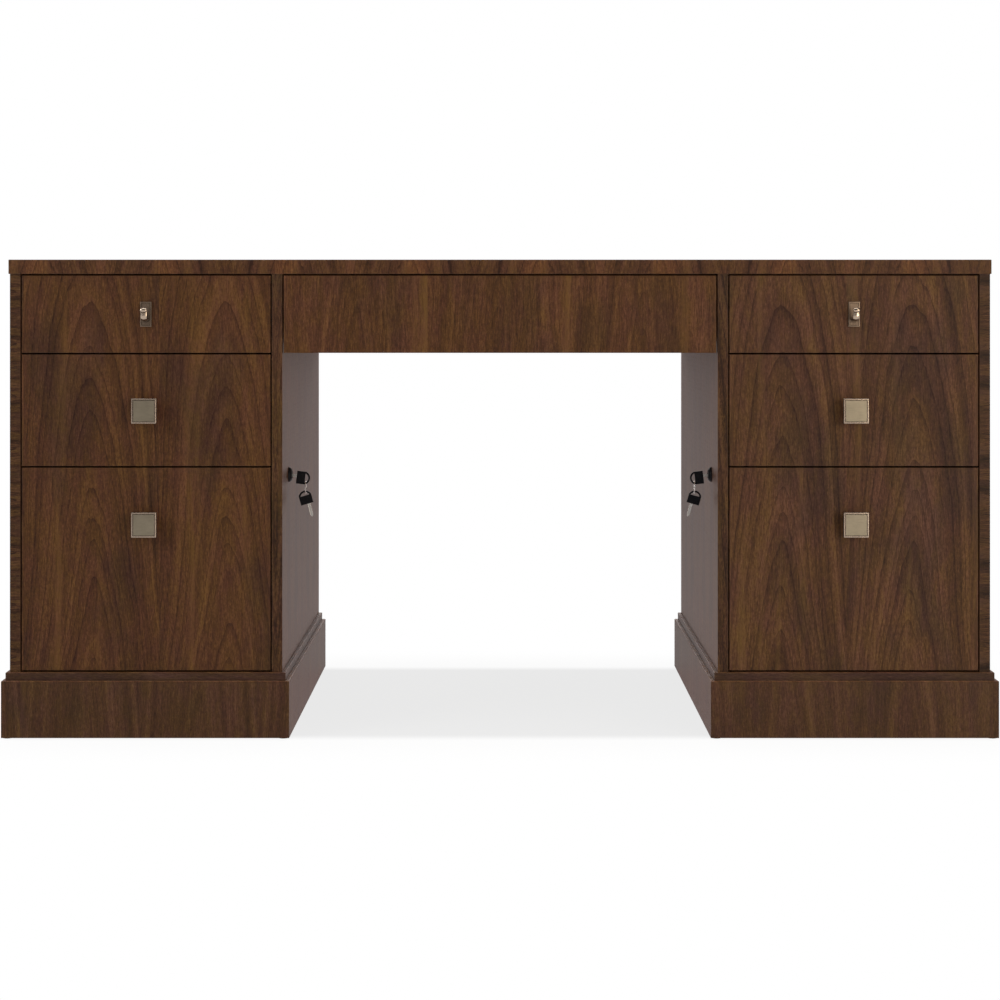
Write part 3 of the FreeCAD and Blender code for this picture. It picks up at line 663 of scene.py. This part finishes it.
def hand(piece, body, node, material):
    useModifier(piece, "WEIGHTED_NORMAL", keep_sharp=True)
    piece.data.materials.clear()
    piece.data.materials.append(material)
    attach(piece, body)
    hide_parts(node)


def handPair(piece, body, node, material):
    # a left piece and its mirrored twin
    twin = mirrorPiece(piece, piece.name.replace("left", "right"))
    hand(piece, body, node, material)
    hand(twin, body.replace("left", "right"), node.replace("left", "right"), material)


# square knobs: a polished rim round a sunk brushed panel, on a turned neck

knobLook = {"size": 0.040, "reach": 0.026, "head": 0.008, "rim": 0.0022, "wall": 0.0002, "recess": 0.0018,
            "panelGap": 0.0008, "panel": 0.0012, "panelEdge": 0.0002, "neck": 0.0065, "neckFlare": 0.002,
            "foot": 0.009, "footFlare": 0.001, "footDepth": 0.0025, "edge": 0.0007}
screwLook = {"radius": 0.0045, "height": 0.0025, "slot": 0.0011, "slotLength": 0.0052, "slotDepth": 0.0012,
             "edge": 0.0008, "crown": 0.72}
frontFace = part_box("left_file_drawer_front")[0].y
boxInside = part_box("left_file_drawer_front")[1].y + dovetail["board"]  # past the boxes' front boards


def turnedPost(name, x, z, stations):
    # stations are places along Y with a radius, from one end to the other
    y, radius = stations[0]
    post = addCircle(name, (x, y, z), radius, postSides, "NGON")
    pickAll(post)
    for nextY, nextRadius in stations[1:]:
        pull((0, nextY - y, 0))
        share = nextRadius / radius
        bpy.ops.transform.resize(value=(share, 1, share))
        y, radius = nextY, nextRadius
    faceOut(post)
    return post


def makeKnob(name, x, z):
    look = knobLook
    half = look["size"] / 2
    face = frontFace - look["reach"]
    head = addBlock(name, (x - half, face, z - half), (x + half, face + look["head"], z + half))
    softEdges(head, look["edge"])
    sinkFront(head, look)
    neckStart = face + look["head"] - look["edge"]
    neckEnd = frontFace - look["footDepth"]
    stations = ((neckStart, look["foot"]), (neckStart + look["neckFlare"], look["neck"]),
                (neckEnd - look["footFlare"], look["neck"]), (neckEnd, look["foot"]),
                (frontFace, look["foot"]))
    neck = turnedPost(name + "Neck", x, z, stations)
    softEdges(neck, look["edge"] / 2, 2)
    return fuse(head, neck)


def makeKnobPanel(name, x, z):
    look = knobLook
    half = look["size"] / 2 - look["rim"] - look["wall"] - look["panelGap"]
    floor = frontFace - look["reach"] + look["recess"]
    low = (x - half, floor - look["panel"], z - half)
    panel = addBlock(name, low, (x + half, floor + look["panel"], z + half))
    softEdges(panel, look["panelEdge"], 2)
    return panel


def makeScrew(name, x, z):
    look = screwLook
    end = boxInside + look["height"]
    head = turnedPost(name, x, z, ((boxInside, look["radius"]), (end - look["edge"], look["radius"]),
                                   (end, look["radius"] * look["crown"])))
    for length, width in ((look["slotLength"], look["slot"]), (look["slot"], look["slotLength"])):
        low = (x - length / 2, end - look["slotDepth"], z - width / 2)
        cutAway(head, addBlock("slotCutter", low, (x + length / 2, end + overrun, z + width / 2)))
    smoothFaces(head, 40)
    return head


# hook pulls: a recessed upright plate and a strap that bends up and curls over

hookLook = {"plate": (0.018, 0.003, 0.040), "rim": 0.0016, "recess": 0.0008, "wall": 0.0003, "edge": 0.0004,
            "width": 0.010, "height": 0.021, "reach": 0.032, "strap": 0.0032, "bend": 0.008,
            "roll": 0.0040, "proud": 0.0048, "curlDegrees": 262, "strapEdge": 0.00035,
            "crown": 0.72, "crownCuts": 4, "bendSteps": 10, "curlSteps": 22}


def makePlate(name, x, z):
    look = hookLook
    wide, deep, tall = look["plate"]
    low = (x - wide / 2, frontFace - deep, z - tall / 2)
    plate = addBlock(name, low, (x + wide / 2, frontFace, z + tall / 2))
    softEdges(plate, look["edge"], 2)
    sinkFront(plate, look)
    return plate


def makeHook(name, x, z):
    # the strap leaves the plate, bends up and curls forward over itself
    look = hookLook
    front = frontFace - look["reach"] + look["proud"]
    root = frontFace - look["plate"][1] + look["recess"]
    low = z - look["height"] / 2
    bendY = front + look["bend"]
    bendZ = low + look["bend"]
    rollY = frontFace - look["reach"] + look["roll"]
    rollZ = z + look["height"] / 2 - look["roll"]
    half = look["width"] / 2
    hook = addBlock(name, (x - half, bendY, low), (x + half, root, low + look["strap"]))
    # crowned across its width, thickest in the middle
    cuts = look["crownCuts"]
    for i in range(1 - cuts, cuts):
        pickAll(hook)
        bpy.ops.mesh.bisect(plane_co=(x + half * i / cuts, 0, 0), plane_no=(1, 0, 0))
    for i in range(-cuts, cuts + 1):
        share = i / cuts
        pickPoints(hook, lambda spot: abs(spot.x - x - half * share) < half / cuts / 4)
        bpy.ops.transform.resize(value=(1, 1, 1 - look["crown"] * share ** 2))
    pickEdges(hook, lambda first, second: abs(first.y - second.y) > look["strap"]
              and abs(first.x - x) > half * nearlyAll)
    bpy.ops.mesh.bevel(offset=look["strapEdge"], segments=3, affect="EDGES")
    pickFaces(hook, facesFront)
    bpy.ops.mesh.spin(steps=look["bendSteps"], angle=quarterTurn, center=(x, bendY, bendZ), axis=(1, 0, 0))
    pull((0, 0, rollZ - bendZ))
    curl = -math.radians(look["curlDegrees"])
    bpy.ops.mesh.spin(steps=look["curlSteps"], angle=curl, center=(x, rollY, rollZ), axis=(1, 0, 0))
    smoothFaces(hook)
    return hook


def pullPlace(node):
    low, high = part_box(node)
    return (low.x + high.x) / 2, (low.z + high.z) / 2


for name in sorted(nodes):
    if not name.endswith("_drawer_pull"):
        continue
    x, z = pullPlace(name)
    body = name[:-len("_pull")]
    stem = name[:-len("_drawer_pull")]
    if "top" in name:
        hand(makePlate(stem + "_hook_plate", x, z), body, name, plateBrass)
        hand(makeHook(stem + "_hook", x, z), body, name, polishedBrass)
    else:
        hand(makeKnob(stem + "_knob", x, z), body, name, rimBrass)
        hand(makeKnobPanel(stem + "_knob_panel", x, z), body, name, champagneBrass)
    hand(makeScrew(stem + "_pull_screw", x, z), body, name, zincSteel)
print("knobs, hooks and their screws made")


# locks: a domed rim and a barrel through the side, held by a nut inside

lockLow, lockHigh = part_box("left_lock_housing")
sideLow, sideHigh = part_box("left_inner_side")
lockCentre = Vector((sideHigh.x, (lockLow.y + lockHigh.y) / 2, (lockLow.z + lockHigh.z) / 2))
lockSize = {"rim": 0.0124, "crest": 0.0080, "domeSteps": 8, "recess": 0.0070, "recessDepth": 0.0012,
            "bore": 0.00618, "barrel": 0.009, "barrelFit": 0.0001, "nut": 0.013, "nutSides": 6,
            "nutDepth": 0.003, "nutEdge": 0.0004, "threadRun": 0.01, "keyDepth": 0.0069}


def alongX(name, start, end, radius, sides=48):
    centre = Vector(((start + end) / 2, lockCentre.y, lockCentre.z))
    return addRound(name, centre, radius, end - start, (0, quarterTurn, 0), sides)


def makeHousing(name):
    size = lockSize
    rise = lockHigh.x - lockCentre.x
    low = size["crest"] / size["rim"]
    stations = [(lockCentre.x - lockLow.x, size["barrel"]), (0, size["barrel"]), (0, size["rim"])]
    for i in range(1, size["domeSteps"] + 1):
        share = 1 - (1 - low) * (i / size["domeSteps"]) ** 2
        height = rise * math.sqrt((1 - share ** 2) / (1 - low ** 2))
        stations.append((-height, size["rim"] * share))
    housing = turnedPost(name, 0, 0, stations)
    housing.rotation_euler = (0, 0, quarterTurn)
    housing.location = lockCentre
    settle(housing)
    cutEnd = lockHigh.x + overrun
    cutAway(housing, alongX("boreCutter", lockLow.x - overrun, cutEnd, size["bore"]))
    cutAway(housing, alongX("recessCutter", lockHigh.x - size["recessDepth"], cutEnd, size["recess"]))
    smoothFaces(housing)
    return housing


def makeNut(name):
    size = lockSize
    nut = alongX(name, sideLow.x - size["nutDepth"], sideLow.x, size["nut"], size["nutSides"])
    softEdges(nut, size["nutEdge"], 2)
    barrel = size["barrel"] + size["barrelFit"]
    cutAway(nut, alongX("threadCutter", lockLow.x - size["threadRun"], lockHigh.x, barrel))
    smoothFaces(nut)
    return nut


for piece in (makeHousing("left_lock_dome"), makeNut("left_lock_nut")):
    handPair(piece, "carcass", "left_lock_housing", blackLock)
print("locks made")


# keys: a moulded bow with ribs and a ring slot, on a cut blade

keySize = {"bow": 0.0224, "bowHalf": 0.0105, "bowSides": 72, "thick": 0.0032, "shoulder": 0.015,
           "rim": 0.0029, "drop": 0.0023, "slotStart": 0.0142, "ringGap": 0.0012, "edge": 0.0007, "ribs": 5,
           "ribStart": 0.0020, "ribPitch": 0.0021, "ribWide": 0.0010, "ribHalf": 0.0068, "ribProud": 0.0002,
           "ribEdge": 0.00018, "blade": 0.022, "bladeHalf": 0.0025, "bladeThick": 0.0018, "bladeRoot": 0.001,
           "tip": 0.0046, "tipShare": 0.40, "cuts": 3, "cutDepth": 0.0013, "cutShare": 0.12, "groove": 0.0005,
           "grooveHalf": 0.0006, "groovePlace": 0.35, "grooveEnd": 0.002, "bladeEdge": 0.0002}
ringLow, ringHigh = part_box("left_key_ring")
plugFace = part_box("left_lock_plug")[1].x
ringSize = {"radius": 0.0098, "wire": 0.0008, "wireSides": 12, "wireShape": (0.98, 1, 1.9),
            "centre": (ringLow + ringHigh) / 2, "turns": 2, "steps": 144}
keyEnd = Vector((plugFace - lockSize["keyDepth"], lockCentre.y, lockCentre.z))
lockPlace = {"grip": 0.0151, "inPlug": keyEnd, "droop": 7.0, "tilt": -106.0,
             "hung": ringSize["centre"] - Vector((0, 0, ringSize["radius"]))}
sameSpot = 0.0001  # points closer than this count as one place


def bowArc():
    # centre and radius of the bow's round end
    size = keySize
    crown = size["bow"] - size["shoulder"]
    centre = (size["bow"] ** 2 - size["shoulder"] ** 2 - size["bowHalf"] ** 2) / (2 * crown)
    return centre, size["bow"] - centre


def spareSeat():
    # where the ring lies in the slot, along the key
    centre, radius = bowArc()
    slotRadius = radius - keySize["rim"]
    return centre + math.sqrt(slotRadius ** 2 - keySize["drop"] ** 2) - keySize["ringGap"]


def roundEnd(name, start, radius, thick):
    # a disc on the bow's own centre, cut straight at start
    size = keySize
    place = (bowArc()[0], 0, -size["drop"])
    disc = addRound(name, place, radius, thick, (quarterTurn, 0, 0), size["bowSides"])
    pickAll(disc)
    bpy.ops.mesh.bisect(plane_co=(start, 0, 0), plane_no=(1, 0, 0), use_fill=True, clear_inner=True)
    return disc


def makeBow(name):
    size = keySize
    radius = bowArc()[1]
    bow = roundEnd(name, size["shoulder"], radius, size["thick"])
    pull((-size["shoulder"], 0, 0))
    slot = roundEnd("slotCutter", size["slotStart"], radius - size["rim"], size["thick"] * 3)
    dropSelection()
    cutAway(bow, slot)
    softEdges(bow, size["edge"])
    for i in range(size["ribs"]):
        start = size["ribStart"] + i * size["ribPitch"]
        reach = size["thick"] / 2 + size["ribProud"]
        low = (start, -reach, -size["drop"] - size["ribHalf"])
        rib = addBlock("rib", low, (start + size["ribWide"], reach, -size["drop"] + size["ribHalf"]))
        softEdges(rib, size["ribEdge"], 2)
        fuse(bow, rib)
    return bow


def makeBlade(name):
    size = keySize
    half = size["bladeHalf"]
    thick = size["bladeThick"] / 2
    blade = addBlock(name, (-size["blade"], -thick, -half), (size["bladeRoot"], thick, half))
    cut = size["blade"] * size["cutShare"]
    starts = [size["tip"] - size["blade"] + cut * (2 * i + 1) for i in range(size["cuts"])]
    places = [size["tip"] - size["blade"]]
    for start in starts:
        places += [start, start + cut / 2, start + cut]
    for place in places:
        pickAll(blade)
        bpy.ops.mesh.bisect(plane_co=(place, 0, 0), plane_no=(1, 0, 0))
    pickPoints(blade, lambda spot: spot.x < sameSpot - size["blade"])
    bpy.ops.transform.resize(value=(1, 1, size["tipShare"]))
    for start in starts:
        middle = start + cut / 2
        pickPoints(blade, lambda spot: abs(spot.x - middle) < sameSpot and spot.z > half - sameSpot)
        bpy.ops.transform.translate(value=(0, 0, -size["cutDepth"]))
    dropSelection()
    for side in (-1, 1):
        y = sorted((side * thick * 2, side * (thick - size["groove"])))
        z = -half * size["groovePlace"]
        low = (-size["blade"] * 2, y[0], z - size["grooveHalf"])
        cutAway(blade, addBlock("grooveCutter", low, (-size["grooveEnd"], y[1], z + size["grooveHalf"])))
    softEdges(blade, size["bladeEdge"], 2)
    return blade


def setKey(piece, turnedOver, degrees, local, world):
    if turnedOver:
        piece.rotation_euler = (math.radians(180), 0, 0)
        settle(piece)
    turn = math.radians(degrees)
    piece.rotation_euler = (0, turn, 0)
    piece.location = Vector(world) - Vector((local * math.cos(turn), 0, -local * math.sin(turn)))
    return settle(piece)


def makeRing(name):
    # two flat turns side by side, like a real split ring
    size = ringSize
    half = size["wire"] / 2
    ring = addCircle(name, (-half, 0, size["radius"]), half, size["wireSides"], "NOTHING")
    pickAll(ring)
    bpy.ops.transform.resize(value=size["wireShape"])
    dropSelection()
    useModifier(ring, "SCREW", axis="X", angle=math.radians(360 * size["turns"]), screw_offset=size["wire"],
                steps=size["steps"], render_steps=size["steps"], use_merge_vertices=False)
    pickAll(ring)
    bpy.ops.mesh.fill_holes(sides=0)
    faceOut(ring)
    smoothFaces(ring, 40)
    ring.location = size["centre"]
    return settle(ring)


def makeKeys():
    place = lockPlace
    bow = makeBow("left_key_bow")
    blade = makeBlade("left_key_blade")
    spares = []
    for piece in (bow, blade):  # the spare is a copy, hung on the ring the other way up
        spare = copyPiece(piece, piece.name.replace("key", "spare"))
        spares.append(setKey(spare, True, place["tilt"], spareSeat(), place["hung"]))
        setKey(piece, False, place["droop"], -place["grip"], place["inPlug"])
    ring = makeRing("left_split_ring")
    handPair(bow, "left_lock", "left_lock_key", keyPlastic)
    handPair(blade, "left_lock", "left_lock_key", keySteel)
    handPair(ring, "left_ring", "left_key_ring", nickelPlate)
    handPair(spares[0], "left_spare", "left_spare_key", keyPlastic)
    handPair(spares[1], "left_spare", "left_spare_key", keySteel)


makeKeys()
print("keys and rings made")


# stage: white sweep with an even painted shade under the desk

stageLook = {"size": 120.0, "albedo": 0.82, "underLevel": 0.845, "shadeEdge": (-0.06, 0.0), "halo": 0.07,
             "haloReach": 0.22, "glossTint": (1.0, 0.92, 0.90, 1), "underTint": (1.22, 0.99, 0.97, 1)}


def makeFloor():
    dropSelection()
    bpy.ops.mesh.primitive_plane_add(size=stageLook["size"], location=(0, 0, 0))
    floor = bpy.context.object
    floor.name = "studioFloor"
    material, tree, shader = startMaterial("studioFloor")
    tree.nodes.remove(shader)
    point = addNode(tree, "TexCoord", {}).outputs["Object"]
    half = [(high - low) / 2 for low, high in zip(*cadBox)]
    outX = calc(tree, "SUBTRACT", calc(tree, "ABSOLUTE", along(tree, point, (1, 0, 0))), half[0])
    outY = calc(tree, "SUBTRACT", calc(tree, "ABSOLUTE", along(tree, point, (0, 1, 0))), half[1])
    outside = calc(tree, "MAXIMUM", outX, outY)
    # an even painted shade under the desk, redder in reflections, and the lamps' own shade, faint, which
    # fades out round it
    under = remap(tree, outside, *stageLook["shadeEdge"], 1.0, 0.0)
    level = calc(tree, "MULTIPLY_ADD", under, stageLook["underLevel"] - 1, 1.0)
    white = remap(tree, outside, 0.0, stageLook["haloReach"], 1 - stageLook["halo"], 1.0)
    path = addNode(tree, "LightPath", {})
    seen = calc(tree, "MAXIMUM", path.outputs["Is Camera Ray"], path.outputs["Is Glossy Ray"])
    seen = calc(tree, "MAXIMUM", seen, path.outputs["Is Transmission Ray"])
    share = calc(tree, "MULTIPLY", seen, white)
    albedo = stageLook["albedo"]
    paint = addNode(tree, "BsdfDiffuse", {"Color": (albedo, albedo, albedo, 1)})
    glossTint = mixColour(tree, under, stageLook["glossTint"], stageLook["underTint"])
    glowTint = mixColour(tree, path.outputs["Is Glossy Ray"], (1, 1, 1, 1), glossTint)
    glow = addNode(tree, "Emission", {"Color": glowTint, "Strength": level})
    mixed = addNode(tree, "MixShader", {0: share, 1: paint.outputs[0], 2: glow.outputs[0]})
    tree.links.new(mixed.outputs[0], tree.nodes["Material Output"].inputs[0])
    floor.data.materials.append(material)


makeFloor()

skyLook = {"ambient": 0.50, "glossFront": 0.06, "glossBack": 0.62, "glossFade": (-0.3, 0.5),
           "glossTint": (1.0, 0.70, 0.66)}


def makeSky():
    world = bpy.data.worlds.new("studioSky")
    bpy.context.scene.world = world
    world.use_nodes = True
    tree = world.node_tree
    background = tree.nodes["Background"]
    direction = addNode(tree, "TexCoord", {}).outputs["Generated"]
    depth = along(tree, direction, (0, 1, 0))
    gloss = remap(tree, depth, *skyLook["glossFade"], skyLook["glossFront"], skyLook["glossBack"])
    path = addNode(tree, "LightPath", {})
    bent = calc(tree, "MAXIMUM", path.outputs["Is Glossy Ray"], path.outputs["Is Transmission Ray"])
    tint = mixColour(tree, bent, (1, 1, 1, 1), (*skyLook["glossTint"], 1))
    tree.links.new(tint, background.inputs["Color"])
    strength = mixValue(tree, bent, skyLook["ambient"], gloss)
    strength = mixValue(tree, path.outputs["Is Camera Ray"], strength, 1.0)
    tree.links.new(strength, background.inputs["Strength"])


makeSky()

lampLook = {
    "leftSoftbox": {"place": (-3.4, -2.7, 2.2), "aim": (-0.3, 0, 0.45), "size": (1.8, 1.8), "power": 70},
    "rightSoftbox": {"place": (2.5, -3.7, 1.0), "aim": (0.3, 0, 0.45), "size": (1.8, 2.0), "power": 74,
                     "colour": (1.0, 0.84, 0.68)},
    "topBank": {"place": (0, -0.4, 3.1), "aim": (0, 0, 0.7), "size": (3.2, 2.0), "power": 45},
    "backFill": {"place": (0, 3.6, 2.0), "aim": (0, 0, 0.4), "size": (2.6, 1.6), "power": 60},
}


def makeLamps():
    for name, look in lampLook.items():
        lamp = bpy.data.lights.new(name, "AREA")
        lamp.shape = "RECTANGLE"
        lamp.size, lamp.size_y = look["size"]
        lamp.energy = look["power"]
        lamp.color = look.get("colour", (1, 1, 1))
        holder = bpy.data.objects.new(name, lamp)
        bpy.context.collection.objects.link(holder)
        holder.location = look["place"]
        sight = Vector(look["aim"]) - Vector(look["place"])
        holder.rotation_euler = sight.to_track_quat("-Z", "Y").to_euler()


makeLamps()

cameraLook = {"place": (0, -4.012, 0.6716), "lens": 81.8, "sensor": 36.0, "shiftY": -0.1804}


def makeCamera():
    data = bpy.data.cameras.new("photoCamera")
    data.lens = cameraLook["lens"]
    data.sensor_width = cameraLook["sensor"]
    data.shift_y = cameraLook["shiftY"]
    camera = bpy.data.objects.new("photoCamera", data)
    bpy.context.collection.objects.link(camera)
    camera.location = cameraLook["place"]
    camera.rotation_euler = (quarterTurn, 0, 0)
    bpy.context.scene.camera = camera


makeCamera()
bpy.context.scene.view_settings.view_transform = "Standard"
print("stage, lamps and camera set")
